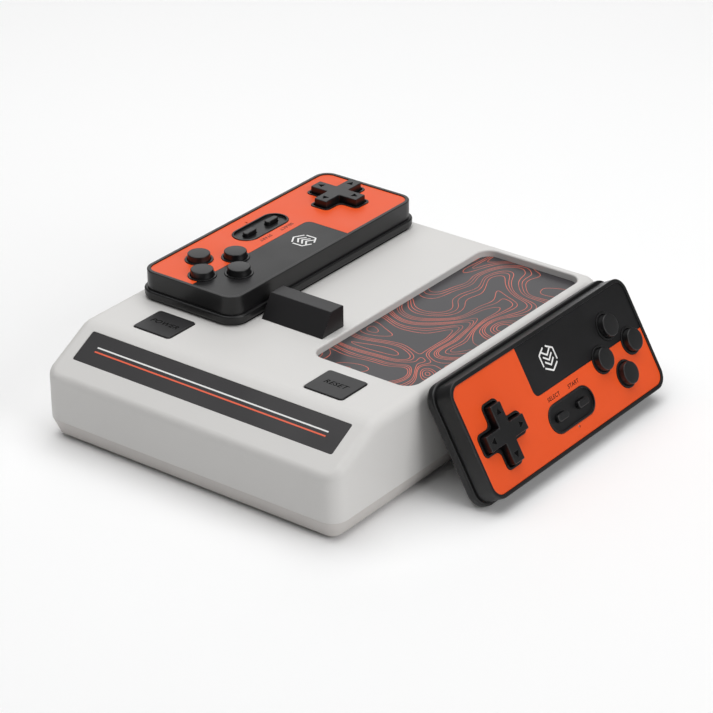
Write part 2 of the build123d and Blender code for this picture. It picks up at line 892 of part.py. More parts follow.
def spring_start():
    """Where the return spring begins, just behind the shoe's hook."""
    return lever_y + shoe_size[1] / 2 + fit


def spring_post():
    """Post under the deck that holds the far end of the return spring."""
    y = spring_start() + spring_length + spring_wire + fit
    low = shoe_top - shoe_size[2] - hook_size[2]
    return block(hook_size[0], post_thick, low, deck_under, 0, y + post_thick / 2)


def lever_spring():
    """Coil spring that draws the lever back."""
    pitch = spring_length / spring_turns
    coil = Helix(pitch=pitch, height=spring_length, radius=spring_radius - spring_wire / 2)
    start = Plane(origin=coil @ 0, z_dir=coil % 0)
    wire = sweep(start * Circle(spring_wire / 2), path=coil, is_frenet=True)
    z = shoe_top - shoe_size[2] - spring_drop
    return Pos(0, spring_start() + spring_wire / 2, z) * Rot(-90, 0, 0) * wire


def main_board():
    """Main circuit board on four standoffs."""
    board = slab(main_board_size[0], main_board_size[1], board_corner, main_board_bottom, main_board_top)
    board = Pos(0, main_board_y, 0) * board
    for x, y in standoffs:
        board -= rod(pad_screw_radius + fit, main_board_bottom, main_board_top, x, y)
    return board


def processor():
    """Main chip in the middle of the board."""
    length, width, thick = chip_size
    return block(length, width, main_board_top, main_board_top + thick, 0, main_board_y)


def heat_sink():
    """Finned block on the chip."""
    length, width, height = sink_size
    low = main_board_top + chip_size[2]
    sink = block(length, width, low, low + sink_base)
    step = (length - fin_thick) / (fin_count - 1)
    for index in range(fin_count):
        x = -length / 2 + fin_thick / 2 + index * step
        sink += block(fin_thick, width, low + sink_base, low + height, x)
    return Pos(0, main_board_y, 0) * sink


def receiver_module():
    """Radio board for the two controllers, with its shield can."""
    low = main_board_top
    board = block(receiver_size[0], receiver_size[1], low, low + receiver_size[2])
    can_low = low + receiver_size[2]
    can = slab(can_size[0], can_size[1], can_corner, can_low, can_low + can_size[2])
    return Pos(receiver_place[0], main_board_y + receiver_place[1], 0) * (board + can)


def square_socket(size, mouth, tongue):
    """Box-shaped socket along Y with its mouth at the origin, facing +Y."""
    across, deep, high = size
    body = Pos(0, -deep / 2, 0) * Box(across, deep, high)
    inner = deep - tongue_setback
    hollow = Pos(0, -inner / 2, 0) * Box(mouth[0], inner, mouth[1])
    core = Pos(0, -inner / 2 - tongue_setback, 0) * Box(tongue[0], inner, tongue[1])
    return body - hollow + core


def rear_place(x, size):
    """Where a socket of this size has its mouth: on the main board, just inside the back wall."""
    return Pos(x, case_back - port_sink, main_board_top + size[2] / 2)


def video_port():
    """Video output socket."""
    return rear_place(video_port_x, video_size) * square_socket(video_size, video_mouth, video_tongue)


def power_port():
    """Power inlet socket."""
    return rear_place(power_port_x, power_size) * Rot(0, 0, 180) * round_socket()


def card_socket():
    """Memory card socket."""
    return rear_place(card_port_x, card_size) * square_socket(card_size, card_mouth, card_tongue)


def rubber_feet():
    """Four round feet let into the base shell."""
    return group([rod(foot_radius, 0, case_bottom + foot_sink, x, y) for x, y in feet])


def machine_screw(head_radius, head_height, shank_radius, shank_length):
    """Screw pointing up, with its head's top face at zero height."""
    head = rod(head_radius, 0, head_height)
    long = head_radius * math.sqrt(2)
    wide = deep = case_screw_slot
    slots = block(wide, long, 0, deep) + block(long, wide, 0, deep)
    return head - slots + rod(shank_radius, head_height, head_height + shank_length)


def case_screws():
    """Four long screws that join the base shell to the top shell."""
    screws = []
    for x, y, _ in boss_places:
        screw = machine_screw(
            case_screw_head, case_screw_head_depth, case_screw_radius - thread_clear, case_screw_length
        )
        screws.append(Pos(x, y, case_bottom + case_screw_sink) * screw)
    return group(screws)


def board_screws():
    """Screws of the main board and the button board, all of one size."""
    screws = []
    head_radius, head_height = board_screw_head
    shank = pad_screw_radius - thread_clear
    long_screw = machine_screw(head_radius, head_height, shank, main_board_size[2] + board_screw_grip)
    for x, y in standoffs:
        screws.append(Pos(x, y, main_board_top + head_height) * Rot(180, 0, 0) * long_screw)
    short_screw = machine_screw(head_radius, head_height, shank, key_board_thick + post_screw_grip)
    for x, y in key_posts:
        screws.append(Pos(x, y, key_board_top - key_board_thick - head_height) * short_screw)
    return group(screws)


def console_pieces():
    """Every piece of the console."""
    reset_key = key_button()
    right_panel = bay_panel()
    return {
        "top_shell": top_shell(),
        "base_shell": base_shell(),
        "front_strip": front_strip(),
        "left_bay_panel": mirror(right_panel, about=Plane.YZ),
        "right_bay_panel": right_panel,
        "power_button": mirror(reset_key, about=Plane.YZ),
        "reset_button": reset_key,
        "button_switches": key_switches(),
        "button_board": key_board(),
        "eject_lever": eject_lever(),
        "lever_shoe": lever_shoe(),
        "lever_spring": lever_spring(),
        "main_board": main_board(),
        "processor": processor(),
        "heat_sink": heat_sink(),
        "receiver_module": receiver_module(),
        "video_port": video_port(),
        "power_port": power_port(),
        "card_socket": card_socket(),
        "rubber_feet": rubber_feet(),
        "case_screws": case_screws(),
        "board_screws": board_screws(),
    }


# ---- where the two controllers are ----


def dock_place():
    """Flat in the left-hand bay, buttons towards the front."""
    height = case_top + dock_gap - flange_bottom
    return Pos(-bay_x, bay_y, height) * Rot(0, 0, -90)


def lean_place():
    """On its lower edge on the table, leaning back against the console's top right edge."""
    lean = math.radians(lean_angle)
    lower_edge = flange_width / 2 - flange_round
    lower_back = -flange_bottom - flange_round
    height = lower_edge * math.cos(lean) + lower_back * math.sin(lean) + flange_round
    edge_x = case_width / 2 - case_edge
    edge_z = case_top - case_edge
    reach = edge_x * math.cos(lean) + edge_z * math.sin(lean) + case_edge
    x = (reach + lean_gap - pad_bottom - height * math.sin(lean)) / math.cos(lean)
    face = (math.cos(lean), 0, math.sin(lean))
    return Plane(origin=(x, case_front + lean_from_front, height), x_dir=(0, 1, 0), z_dir=face).location


def main():
    for name, piece in console_pieces().items():
        export_step(piece, f"parts/{name}.step")
    pad = pad_pieces()
    for side, place in (("left_pad", dock_place()), ("right_pad", lean_place())):
        for name, piece in pad.items():
            export_step(place * piece, f"parts/{side}_{name}.step")


main()
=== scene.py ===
import json
import math

import bmesh
import bpy
import numpy as np
from mathutils import Matrix, Vector


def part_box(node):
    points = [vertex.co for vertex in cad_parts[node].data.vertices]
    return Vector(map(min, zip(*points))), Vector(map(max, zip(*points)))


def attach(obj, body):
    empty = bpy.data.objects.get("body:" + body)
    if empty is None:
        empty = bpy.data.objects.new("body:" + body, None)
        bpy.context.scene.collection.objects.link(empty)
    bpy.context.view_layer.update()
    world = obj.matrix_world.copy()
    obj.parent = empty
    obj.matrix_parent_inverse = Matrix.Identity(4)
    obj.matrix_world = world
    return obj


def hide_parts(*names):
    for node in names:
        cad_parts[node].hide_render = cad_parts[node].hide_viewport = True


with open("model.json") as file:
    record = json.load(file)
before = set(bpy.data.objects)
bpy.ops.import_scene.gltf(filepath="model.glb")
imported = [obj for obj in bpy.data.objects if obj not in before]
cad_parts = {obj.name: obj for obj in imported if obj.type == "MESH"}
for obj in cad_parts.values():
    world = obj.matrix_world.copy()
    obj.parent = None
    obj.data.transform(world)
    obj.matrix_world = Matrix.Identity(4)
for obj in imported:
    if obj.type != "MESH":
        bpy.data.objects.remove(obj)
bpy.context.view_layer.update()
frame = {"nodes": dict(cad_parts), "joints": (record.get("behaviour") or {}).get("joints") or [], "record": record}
nodes = frame["nodes"]
record = frame["record"]
mm = 0.001
wholePiece = 1.0  # metres, deeper than any piece
print("frame loaded:", len(nodes), "nodes")


# ---- small helpers for places and meshes ----

def meshPoints(name):  # all corner points of a CAD node, as rows
    mesh = nodes[name].data
    flat = np.zeros(len(mesh.vertices) * 3, np.float32)
    mesh.vertices.foreach_get("co", flat)
    return flat.reshape(-1, 3).astype(float)


def jointNamed(name):
    return next(joint for joint in frame["joints"] if joint["name"] == name)


def padAxes(side):
    # a controller's own frame: middle of its cross button's ball, then along, up the face and out of the face
    tip = jointNamed(side + "_dpad_tip")
    middle, along = np.array(tip["pos_m"], float), np.array(tip["axis"], float)
    up = np.array(jointNamed(side + "_dpad_rock")["axis"], float)
    return middle, along, up, np.cross(along, up)


def padBox(side, name, depth=wholePiece):
    # lowest and highest corner in that frame of what lies no deeper than this below the piece's top
    origin, along, up, out = padAxes(side)
    local = (meshPoints(side + "_" + name) - origin) @ np.array([along, up, out]).T
    local = local[local[:, 2] > local[:, 2].max() - depth]
    return local.min(0), local.max(0)


def padPlace(side, x, y, z):  # matrix that stands a piece at a point of that frame
    origin, along, up, out = padAxes(side)
    return placed(origin + x * along + y * up + z * out, along, up, out)


def placed(origin, along, up, out):
    columns = np.array([along, up, out, origin]).T
    return Matrix([list(row) for row in columns] + [[0, 0, 0, 1]])


def topFace(name):
    # of the flat faces that look the same way as the node's widest upward triangle, the outermost: its
    # middle, then along X, up the slope and out
    leastRise = 0.3          # upward part of a normal that counts as looking upward
    sameWay = 0.999          # cosine between the normals of one flat face
    levelSlack = 0.05 * mm
    mesh = nodes[name].data
    count = len(mesh.polygons)
    normals = np.zeros(count * 3, np.float32)
    areas = np.zeros(count, np.float32)
    centres = np.zeros(count * 3, np.float32)
    mesh.polygons.foreach_get("normal", normals)
    mesh.polygons.foreach_get("area", areas)
    mesh.polygons.foreach_get("center", centres)
    normals, centres = normals.reshape(-1, 3), centres.reshape(-1, 3)
    out = normals[np.argmax(areas * (normals[:, 2] > leastRise))].astype(float)
    out /= np.linalg.norm(out)
    flat = (normals @ out) > sameWay
    level = np.max(centres[flat] @ out)
    flat &= (centres @ out) > level - levelSlack
    middle = np.average(centres[flat], axis=0, weights=areas[flat])
    along = np.array([1.0, 0.0, 0.0])
    return placed(middle, along, np.cross(out, along), out)


def addPiece(name, vertices, faces, place, material, body, slot=None, smooth=True):
    mesh = bpy.data.meshes.new(name)
    mesh.from_pydata(vertices.tolist(), [], faces)
    mesh.transform(place)
    mesh.polygons.foreach_set("use_smooth", np.full(len(mesh.polygons), smooth))
    mesh.materials.append(material)
    mesh.update()
    piece = bpy.data.objects.new(name, mesh)
    bpy.context.scene.collection.objects.link(piece)
    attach(piece, body)
    return piece


# ---- finishes ----

def startMaterial(name):
    material = bpy.data.materials.new(name)
    material.use_nodes = True
    tree = material.node_tree
    tree.nodes.clear()
    output = tree.nodes.new("ShaderNodeOutputMaterial")
    shader = tree.nodes.new("ShaderNodeBsdfPrincipled")
    tree.links.new(shader.outputs["BSDF"], output.inputs["Surface"])
    return material, tree, shader


def addNode(tree, kind, **settings):
    node = tree.nodes.new(kind)
    for key, value in settings.items():
        setattr(node, key, value)
    return node


def mathNode(tree, operation, first, second=None, third=None, clamp=False):
    node = addNode(tree, "ShaderNodeMath", operation=operation, use_clamp=clamp)
    for socket, value in zip(node.inputs, (first, second, third)):
        if value is None:
            continue
        if isinstance(value, (int, float)):
            socket.default_value = value
        else:
            tree.links.new(value, socket)
    return node.outputs[0]


def noiseNode(tree, vector, size, detail=2.0, roughness=0.5, distortion=0.0):
    # size is the width of one blotch
    node = addNode(tree, "ShaderNodeTexNoise")
    node.inputs["Scale"].default_value = 1.0 / size
    node.inputs["Detail"].default_value = detail
    node.inputs["Roughness"].default_value = roughness
    node.inputs["Distortion"].default_value = distortion
    tree.links.new(vector, node.inputs["Vector"])
    return node.outputs["Fac"]


def rangeNode(tree, value, low, high, newLow, newHigh):
    node = addNode(tree, "ShaderNodeMapRange")
    for key, number in (("From Min", low), ("From Max", high), ("To Min", newLow), ("To Max", newHigh)):
        node.inputs[key].default_value = number
    tree.links.new(value, node.inputs["Value"])
    return node.outputs["Result"]


def mixNode(tree, factor, first, second):
    node = addNode(tree, "ShaderNodeMix", data_type="RGBA")
    # inputs 0, 6 and 7 and output 2 are the ones that a colour mix uses
    for socket, value in ((node.inputs[0], factor), (node.inputs[6], first), (node.inputs[7], second)):
        if isinstance(value, (int, float)):
            socket.default_value = value
        elif isinstance(value, tuple):
            socket.default_value = (*value, 1.0)
        else:
            tree.links.new(value, socket)
    return node.outputs[2]


def shade(colour, share):
    return tuple(min(1.0, max(0.0, part * share)) for part in colour)


noiseSpread = (0.3, 0.7)     # most of a noise lies between these, so they are drawn out to the whole swing
grainSpread = (0.35, 0.65)
edgeTurn = (0.995, 0.90)     # cosine between soft and true normal where an edge begins and where it is full
leastEdgeHighlight = 0.5              # share of the painted edge highlight at an edge, where the grain is lowest

# what every moulded finish can change; colours are linear, sizes in metres
plainFinish = {
    "roughness": 0.4,
    "roughnessSwing": 0.05,     # how far the gloss wanders over the surface
    "blotch": 0.03,             # width of those wanderings
    "blotchDetail": 3.0,
    "toneSwing": 0.03,          # how far the colour wanders
    "grain": 0.0004,            # width and depth of the moulded grain
    "grainDepth": 0.000004,
    "edge": 0.00015,            # softened edge
    "edgeSamples": 4,
    "edgeHighlightTone": 1.25,           # painted highlight colour there, as a share of the colour
    "metallic": 0.0,
    "specular": 0.5,
    "stretch": (1.0, 1.0, 1.0),  # draws the grain out along an axis
}

finishes = {
    "case_plastic": {"colour": (0.66, 0.65, 0.635), "roughness": 0.48, "toneSwing": 0.012, "edge": 0.0003,
                     "edgeHighlightTone": 1.04, "grainDepth": 0.000003, "blotch": 0.05, "specular": 0.4},
    # painted shade: a darker, warmer copy of the case plastic, used on the base shell
    "base_plastic_shaded": {"colour": (0.575, 0.55, 0.53), "roughness": 0.52, "toneSwing": 0.012, "edge": 0.0003,
                     "edgeHighlightTone": 1.03, "grainDepth": 0.000003, "blotch": 0.05, "specular": 0.3},
    "strip_plastic": {"colour": (0.016, 0.0145, 0.016), "roughness": 0.38, "edgeHighlightTone": 1.6,
                      "specular": 0.3},
    "key_plastic": {"colour": (0.011, 0.0105, 0.0115), "roughness": 0.42, "edgeHighlightTone": 2.0, "edge": 0.0002},
    "pad_plastic": {"colour": (0.0075, 0.0075, 0.008), "roughness": 0.34, "edgeHighlightTone": 4.0, "edge": 0.00025,
                    "specular": 0.42},
    "orange_face": {"colour": (0.80, 0.084, 0.010), "roughness": 0.42, "toneSwing": 0.02, "edgeHighlightTone": 1.05,
                    "specular": 0.4},
    "black_face": {"colour": (0.0062, 0.0060, 0.0066), "roughness": 0.36, "toneSwing": 0.05, "edgeHighlightTone": 1.6,
                   "specular": 0.42},
    "button_plastic": {"colour": (0.007, 0.007, 0.0075), "roughness": 0.34, "edgeHighlightTone": 4.0, "edge": 0.0002},
    "switch_plastic": {"colour": (0.02, 0.02, 0.02), "roughness": 0.5},
    "steel": {"colour": (0.60, 0.60, 0.58), "roughness": 0.30, "metallic": 1.0, "toneSwing": 0.08,
              "grain": 0.00025, "stretch": (1.0, 0.15, 1.0), "edgeHighlightTone": 1.15},
    "heat_sink_aluminium": {"colour": (0.72, 0.73, 0.74), "roughness": 0.36, "metallic": 1.0, "grain": 0.0003,
                            "stretch": (1.0, 0.08, 1.0), "grainDepth": 0.000008, "edgeHighlightTone": 1.1},
    "foot_rubber": {"colour": (0.022, 0.022, 0.022), "roughness": 0.86, "toneSwing": 0.12, "edge": 0.0003,
                    "grain": 0.0005, "grainDepth": 0.00002},
    "contact_rubber": {"colour": (0.33, 0.33, 0.34), "roughness": 0.72, "toneSwing": 0.05,
                       "grainDepth": 0.00001},
    "battery_wrap": {"colour": (0.42, 0.43, 0.45), "roughness": 0.28, "grain": 0.004, "grainDepth": 0.00006,
                     "toneSwing": 0.06},
}


def mouldedMaterial(name, look):
    look = {**plainFinish, **look}
    material, tree, shader = startMaterial(name)
    place = addNode(tree, "ShaderNodeTexCoord").outputs["Object"]
    stretched = addNode(tree, "ShaderNodeMapping")
    stretched.inputs["Scale"].default_value = look["stretch"]
    tree.links.new(place, stretched.inputs["Vector"])
    blotches = noiseNode(tree, place, look["blotch"], look["blotchDetail"])
    tone = rangeNode(tree, blotches, *noiseSpread, 0.0, 1.0)
    grain = noiseNode(tree, stretched.outputs["Vector"], look["grain"])
    swing = look["toneSwing"]
    colour = mixNode(tree, tone, shade(look["colour"], 1 - swing), shade(look["colour"], 1 + swing))
    # painted highlight along the edges: where the softened normal leaves the true one, broken up by the grain
    soft = addNode(tree, "ShaderNodeBevel", samples=look["edgeSamples"])
    soft.inputs["Radius"].default_value = look["edge"]
    true = addNode(tree, "ShaderNodeNewGeometry").outputs["Normal"]
    turn = addNode(tree, "ShaderNodeVectorMath", operation="DOT_PRODUCT")
    tree.links.new(soft.outputs["Normal"], turn.inputs[0])
    tree.links.new(true, turn.inputs[1])
    atEdge = rangeNode(tree, turn.outputs["Value"], *edgeTurn, 0.0, 1.0)
    uneven = rangeNode(tree, grain, *grainSpread, leastEdgeHighlight, 1.0)
    edgeHighlightMask = mathNode(tree, "MULTIPLY", atEdge, uneven, clamp=True)
    colour = mixNode(tree, edgeHighlightMask, colour, shade(look["colour"], look["edgeHighlightTone"]))
    tree.links.new(colour, shader.inputs["Base Color"])
    low, high = look["roughness"] - look["roughnessSwing"], look["roughness"] + look["roughnessSwing"]
    tree.links.new(rangeNode(tree, tone, 0.0, 1.0, low, high), shader.inputs["Roughness"])
    shader.inputs["Metallic"].default_value = look["metallic"]
    shader.inputs["Specular IOR Level"].default_value = look["specular"]
    bump = addNode(tree, "ShaderNodeBump")
    bump.inputs["Distance"].default_value = look["grainDepth"]
    tree.links.new(grain, bump.inputs["Height"])
    tree.links.new(soft.outputs["Normal"], bump.inputs["Normal"])
    tree.links.new(bump.outputs["Normal"], shader.inputs["Normal"])
    return material


contourPrint = {
    "ground": (0.036, 0.033, 0.037),
    "groundSwing": 0.08,         # how far the ground's tone wanders, and the width of those wanderings
    "groundBlotch": 0.02,
    "line": (0.80, 0.16, 0.095),
    "roughness": 0.36,
    "lineRoughness": 0.44,
    "hill": 0.038,               # width of one hill of the contour map
    "detail": 0.0,
    "fineness": 0.4,
    "twist": 0.9,
    "levels": 6.6,               # bundles of lines from the lowest ground to the highest
    "ramp": (18.0, 50.0, 0.0),   # bundles for each metre that the whole map rises along X and Y
    "lines": (0.10, 0.34, 0.55),  # where the lines of one bundle lie between two levels
    "lineWidth": 0.00025,
    "lineFade": (0.35, 0.65),    # shares of the width, from a line's middle, between which its ink fades out
    "step": 0.0002,              # over which the map's steepness is measured
    "leastSteep": 20.0,          # levels in a metre; level ground counts as this steep, or ink floods it
    "thinBlotch": 0.012,         # width of the patches where the ink is thin
    "thinDetail": 1.0,
    "thinRange": (0.35, 0.55),   # noise below the first is thin ink, above the second whole ink
    "thinInk": 0.55,
    "grain": 0.0004,
    "grainDepth": 0.000003,
}


def contourMaterial(name, look):
    # a smooth height map, noise times the number of levels plus an even rise; a line is drawn where the
    # height has one of the wanted fractions, and dividing by the steepness keeps every line equally wide
    material, tree, shader = startMaterial(name)
    place = addNode(tree, "ShaderNodeTexCoord").outputs["Object"]

    def heightAt(shift):
        moved = addNode(tree, "ShaderNodeVectorMath", operation="ADD")
        tree.links.new(place, moved.inputs[0])
        moved.inputs[1].default_value = shift
        shape = (look["hill"], look["detail"], look["fineness"], look["twist"])
        hills = noiseNode(tree, moved.outputs["Vector"], *shape)
        rise = addNode(tree, "ShaderNodeVectorMath", operation="DOT_PRODUCT")
        tree.links.new(moved.outputs["Vector"], rise.inputs[0])
        rise.inputs[1].default_value = look["ramp"]
        return mathNode(tree, "MULTIPLY_ADD", hills, look["levels"], rise.outputs["Value"])

    step = look["step"]
    here, right, back = heightAt((0, 0, 0)), heightAt((step, 0, 0)), heightAt((0, step, 0))
    slopeX = mathNode(tree, "SUBTRACT", right, here)
    slopeY = mathNode(tree, "SUBTRACT", back, here)
    squares = mathNode(tree, "MULTIPLY_ADD", slopeX, slopeX, mathNode(tree, "MULTIPLY", slopeY, slopeY))
    steep = mathNode(tree, "DIVIDE", mathNode(tree, "SQRT", squares), step)
    steep = mathNode(tree, "MAXIMUM", steep, look["leastSteep"])
    part = mathNode(tree, "FRACT", here)
    ink = None
    for level in look["lines"]:
        away = mathNode(tree, "ABSOLUTE", mathNode(tree, "SUBTRACT", part, level))
        away = mathNode(tree, "DIVIDE", away, steep)
        full, gone = (look["lineWidth"] * share for share in look["lineFade"])
        drawn = rangeNode(tree, away, full, gone, 1.0, 0.0)
        ink = drawn if ink is None else mathNode(tree, "MAXIMUM", ink, drawn)
    patches = noiseNode(tree, place, look["thinBlotch"], look["thinDetail"])
    strength = rangeNode(tree, patches, *look["thinRange"], look["thinInk"], 1.0)
    ink = mathNode(tree, "MULTIPLY", ink, strength, clamp=True)
    grain = noiseNode(tree, place, look["grain"])
    tone, swing = noiseNode(tree, place, look["groundBlotch"]), look["groundSwing"]
    ground = mixNode(tree, tone, shade(look["ground"], 1 - swing), shade(look["ground"], 1 + swing))
    tree.links.new(mixNode(tree, ink, ground, look["line"]), shader.inputs["Base Color"])
    gloss = rangeNode(tree, ink, 0.0, 1.0, look["roughness"], look["lineRoughness"])
    tree.links.new(gloss, shader.inputs["Roughness"])
    bump = addNode(tree, "ShaderNodeBump")
    bump.inputs["Distance"].default_value = look["grainDepth"]
    tree.links.new(mathNode(tree, "ADD", grain, ink), bump.inputs["Height"])
    tree.links.new(bump.outputs["Normal"], shader.inputs["Normal"])
    return material


boardFinish = {
    "mask": (0.010, 0.085, 0.035),
    "maskSwing": 1.15,           # the mask's fields lie between its own tone and this share of it
    "track": (0.035, 0.19, 0.075),
    "trackPitch": 0.0025,
    "linkPitch": 3.0,            # from one cross link to the next, and half the copper's width, in pitches
    "trackHalf": 0.12,
    "trackHeight": 0.00003,
    "blotch": 0.006,
    "roughness": (0.27, 0.42),
}


def boardMaterial(name, look):
    # solder mask over long copper tracks with cross links: the joints of a brick pattern, drawn as thin
    # lighter lines
    material, tree, shader = startMaterial(name)
    place = addNode(tree, "ShaderNodeTexCoord").outputs["Object"]
    bricks = addNode(tree, "ShaderNodeTexBrick")
    bricks.inputs["Scale"].default_value = 1.0
    bricks.inputs["Brick Width"].default_value = look["trackPitch"] * look["linkPitch"]
    bricks.inputs["Row Height"].default_value = look["trackPitch"]
    bricks.inputs["Mortar Size"].default_value = look["trackPitch"] * look["trackHalf"]
    bricks.inputs["Color1"].default_value = (*look["mask"], 1.0)
    bricks.inputs["Color2"].default_value = (*shade(look["mask"], look["maskSwing"]), 1.0)
    bricks.inputs["Mortar"].default_value = (*look["track"], 1.0)
    tree.links.new(place, bricks.inputs["Vector"])
    tree.links.new(bricks.outputs["Color"], shader.inputs["Base Color"])
    gloss = rangeNode(tree, noiseNode(tree, place, look["blotch"]), *noiseSpread, *look["roughness"])
    tree.links.new(gloss, shader.inputs["Roughness"])
    bump = addNode(tree, "ShaderNodeBump")
    bump.inputs["Distance"].default_value = look["trackHeight"]
    tree.links.new(bricks.outputs["Fac"], bump.inputs["Height"])
    tree.links.new(bump.outputs["Normal"], shader.inputs["Normal"])
    return material


clearFinish = {
    "colour": (0.85, 0.86, 0.86),
    "transmission": 0.7,
    "bending": 1.49,             # index of refraction
    "blotch": 0.0008,
    "roughness": (0.35, 0.55),
}


def clearMaterial(name, look):
    # frosted light pipe: clear plastic whose roughness wanders a little
    material, tree, shader = startMaterial(name)
    place = addNode(tree, "ShaderNodeTexCoord").outputs["Object"]
    shader.inputs["Base Color"].default_value = (*look["colour"], 1.0)
    shader.inputs["Transmission Weight"].default_value = look["transmission"]
    shader.inputs["IOR"].default_value = look["bending"]
    frost = rangeNode(tree, noiseNode(tree, place, look["blotch"]), *noiseSpread, *look["roughness"])
    tree.links.new(frost, shader.inputs["Roughness"])
    return material


materials = {slot: mouldedMaterial(slot, look) for slot, look in finishes.items()}
materials["bay_print"] = contourMaterial("bay_print", contourPrint)
materials["circuit_board"] = boardMaterial("circuit_board", boardFinish)
materials["clear_plastic"] = clearMaterial("clear_plastic", clearFinish)
for subpart in record["subparts"]:
    mesh = nodes[subpart["node"]].data
    mesh.materials.clear()
    mesh.materials.append(materials[subpart["material_slot"]])
# painted shade: the base shell gets a darker, warmer copy of the case plastic, so its band facing the floor looks
# shaded
nodes["base_shell"].data.materials[0] = materials["base_plastic_shaded"]

inkFinish = {"roughness": 0.45, "grain": 0.0003, "grainDepth": 0.000002, "edge": 0.00002, "edgeHighlightTone": 1.0}
inks = {
    "white_ink": {"colour": (0.80, 0.80, 0.79)},
    "orange_ink": {"colour": (0.82, 0.10, 0.03)},
    "dark_ink": {"colour": (0.050, 0.005, 0.003), "specular": 0.2},
    # print on the keys, and also painted shade in the cross button's arrow recesses
    "key_ink_and_arrow_shade": {"colour": (0.003, 0.003, 0.003), "roughness": 0.8, "specular": 0.1},
}
for name, look in inks.items():
    materials[name] = mouldedMaterial(name, {**inkFinish, **look})
contactFinish = {"colour": (0.83, 0.60, 0.22), "metallic": 1.0, "roughness": 0.25, "grain": 0.0001,
                 "edge": 0.00002, "edgeHighlightTone": 1.0}
materials["contact_gold"] = mouldedMaterial("contact_gold", contactFinish)
print("finishes:", len(materials))


# ---- round buttons: a profile turned about the button's axis ----

roundButton = {
    "flangeStep": 1.2 * mm,     # the hidden flange stands out this far beyond the cap
    "flangeThick": 1.0 * mm,
    "flangeSoft": 0.08 * mm,    # bevels of the flange
    "edgeRadius": 0.42 * mm,
    "dome": 0.14 * mm,          # crown of the top
    "domeSteps": 8,
    "edgeSteps": 8,
    "turnSteps": 72,
}


def turnedSurface(profile, turnSteps):
    # each point of the profile (distance from the axis, height) is swept once round the axis; the two
    # ends lie on the axis, so the surface is closed by a fan of triangles there
    angle = np.arange(turnSteps) * 2 * math.pi / turnSteps
    rings = profile[1:-1]
    x = rings[:, 0, None] * np.cos(angle)
    y = rings[:, 0, None] * np.sin(angle)
    z = np.broadcast_to(rings[:, 1, None], x.shape)
    grid = np.stack([x, y, z], -1).reshape(-1, 3)
    ends = np.array([[0, 0, profile[0, 1]], [0, 0, profile[-1, 1]]])
    vertices = np.vstack([grid, ends])
    ring = np.arange(len(rings) - 1)[:, None] * turnSteps
    here = np.arange(turnSteps)[None, :]
    beside = (here + 1) % turnSteps
    quads = np.stack([ring + here, ring + beside, ring + turnSteps + beside, ring + turnSteps + here], -1)
    first, last = len(grid), len(grid) + 1
    bottom = (len(rings) - 1) * turnSteps
    fanOne = np.stack([np.full(turnSteps, first), beside[0], here[0]], -1)
    fanTwo = np.stack([np.full(turnSteps, last), bottom + here[0], bottom + beside[0]], -1)
    return vertices, quads.reshape(-1, 4).tolist() + fanOne.tolist() + fanTwo.tolist()


def buttonProfile(flangeRadius, low, high, look):
    # from the flange's underside out, up its side, in to the cap, up the wall, over a quarter-round edge
    # and across a shallow crown whose height falls with the square of the distance from the middle
    radius = flangeRadius - look["flangeStep"]
    edge = look["edgeRadius"]
    shoulder = low + look["flangeThick"]
    rim = high - look["dome"]
    turn = np.linspace(0, math.pi / 2, look["edgeSteps"] + 1)
    edgeArc = np.stack([radius - edge + edge * np.cos(turn), rim - edge + edge * np.sin(turn)], -1)
    share = np.linspace(1, 0, look["domeSteps"] + 1)[1:]
    crown = np.stack([(radius - edge) * share, rim + look["dome"] * (1 - share ** 2)], -1)
    soft = look["flangeSoft"]
    start = [
        [0, low], [flangeRadius - soft, low], [flangeRadius, low + soft],
        [flangeRadius, shoulder - soft], [flangeRadius - soft, shoulder],
        [radius + soft, shoulder], [radius, shoulder + soft],
    ]
    return np.vstack([start, edgeArc, crown])


for side in ("left_pad", "right_pad"):
    for key in ("top_button", "right_button", "bottom_button", "left_button"):
        low, high = padBox(side, key)
        middle = (low + high) / 2
        profile = buttonProfile((high[0] - low[0]) / 2, low[2], high[2], roundButton)
        vertices, faces = turnedSurface(profile, roundButton["turnSteps"])
        body = side + "_" + key
        cap = addPiece(body + "_cap", vertices, faces, padPlace(side, middle[0], middle[1], 0),
                       materials["button_plastic"], body, "button_plastic")
        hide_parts(body)
print("round buttons turned")


# ---- printed marks: thin ribbons carried along a path, and lettering; painted shade in the arrow recesses ----

def ribbonSurface(path, width, thick):
    # a low bar of this width is carried along the path; at each point it is pushed out sideways along the
    # mean of the two neighbouring normals, lengthened so that corners stay as wide as the runs
    ahead = np.roll(path, -1, 0) - path
    ahead[-1] = ahead[-2]
    ahead /= np.linalg.norm(ahead, axis=1, keepdims=True)
    behind = np.roll(ahead, 1, 0)
    behind[0] = ahead[0]
    normalAhead = np.stack([-ahead[:, 1], ahead[:, 0]], -1)
    normalBehind = np.stack([-behind[:, 1], behind[:, 0]], -1)
    mean = normalAhead + normalBehind
    mean /= np.linalg.norm(mean, axis=1, keepdims=True)
    reach = width / 2 / np.sum(mean * normalAhead, axis=1)
    offset = mean * reach[:, None]
    left, right = path + offset, path - offset
    low = np.zeros((len(path), 1))
    high = np.full((len(path), 1), thick)
    section = [np.hstack(pair) for pair in ((right, low), (right, high), (left, high), (left, low))]
    vertices = np.stack(section, 1).reshape(-1, 3)
    end = (len(path) - 1) * 4
    here = np.arange(0, end, 4)[:, None]
    there = here + 4
    corner = np.arange(4)[None, :]
    nextCorner = (corner + 1) % 4
    faces = np.stack([here + corner, there + corner, there + nextCorner, here + nextCorner], -1)
    ends = [[0, 1, 2, 3], [end + 3, end + 2, end + 1, end]]
    return vertices, faces.reshape(-1, 4).tolist() + ends


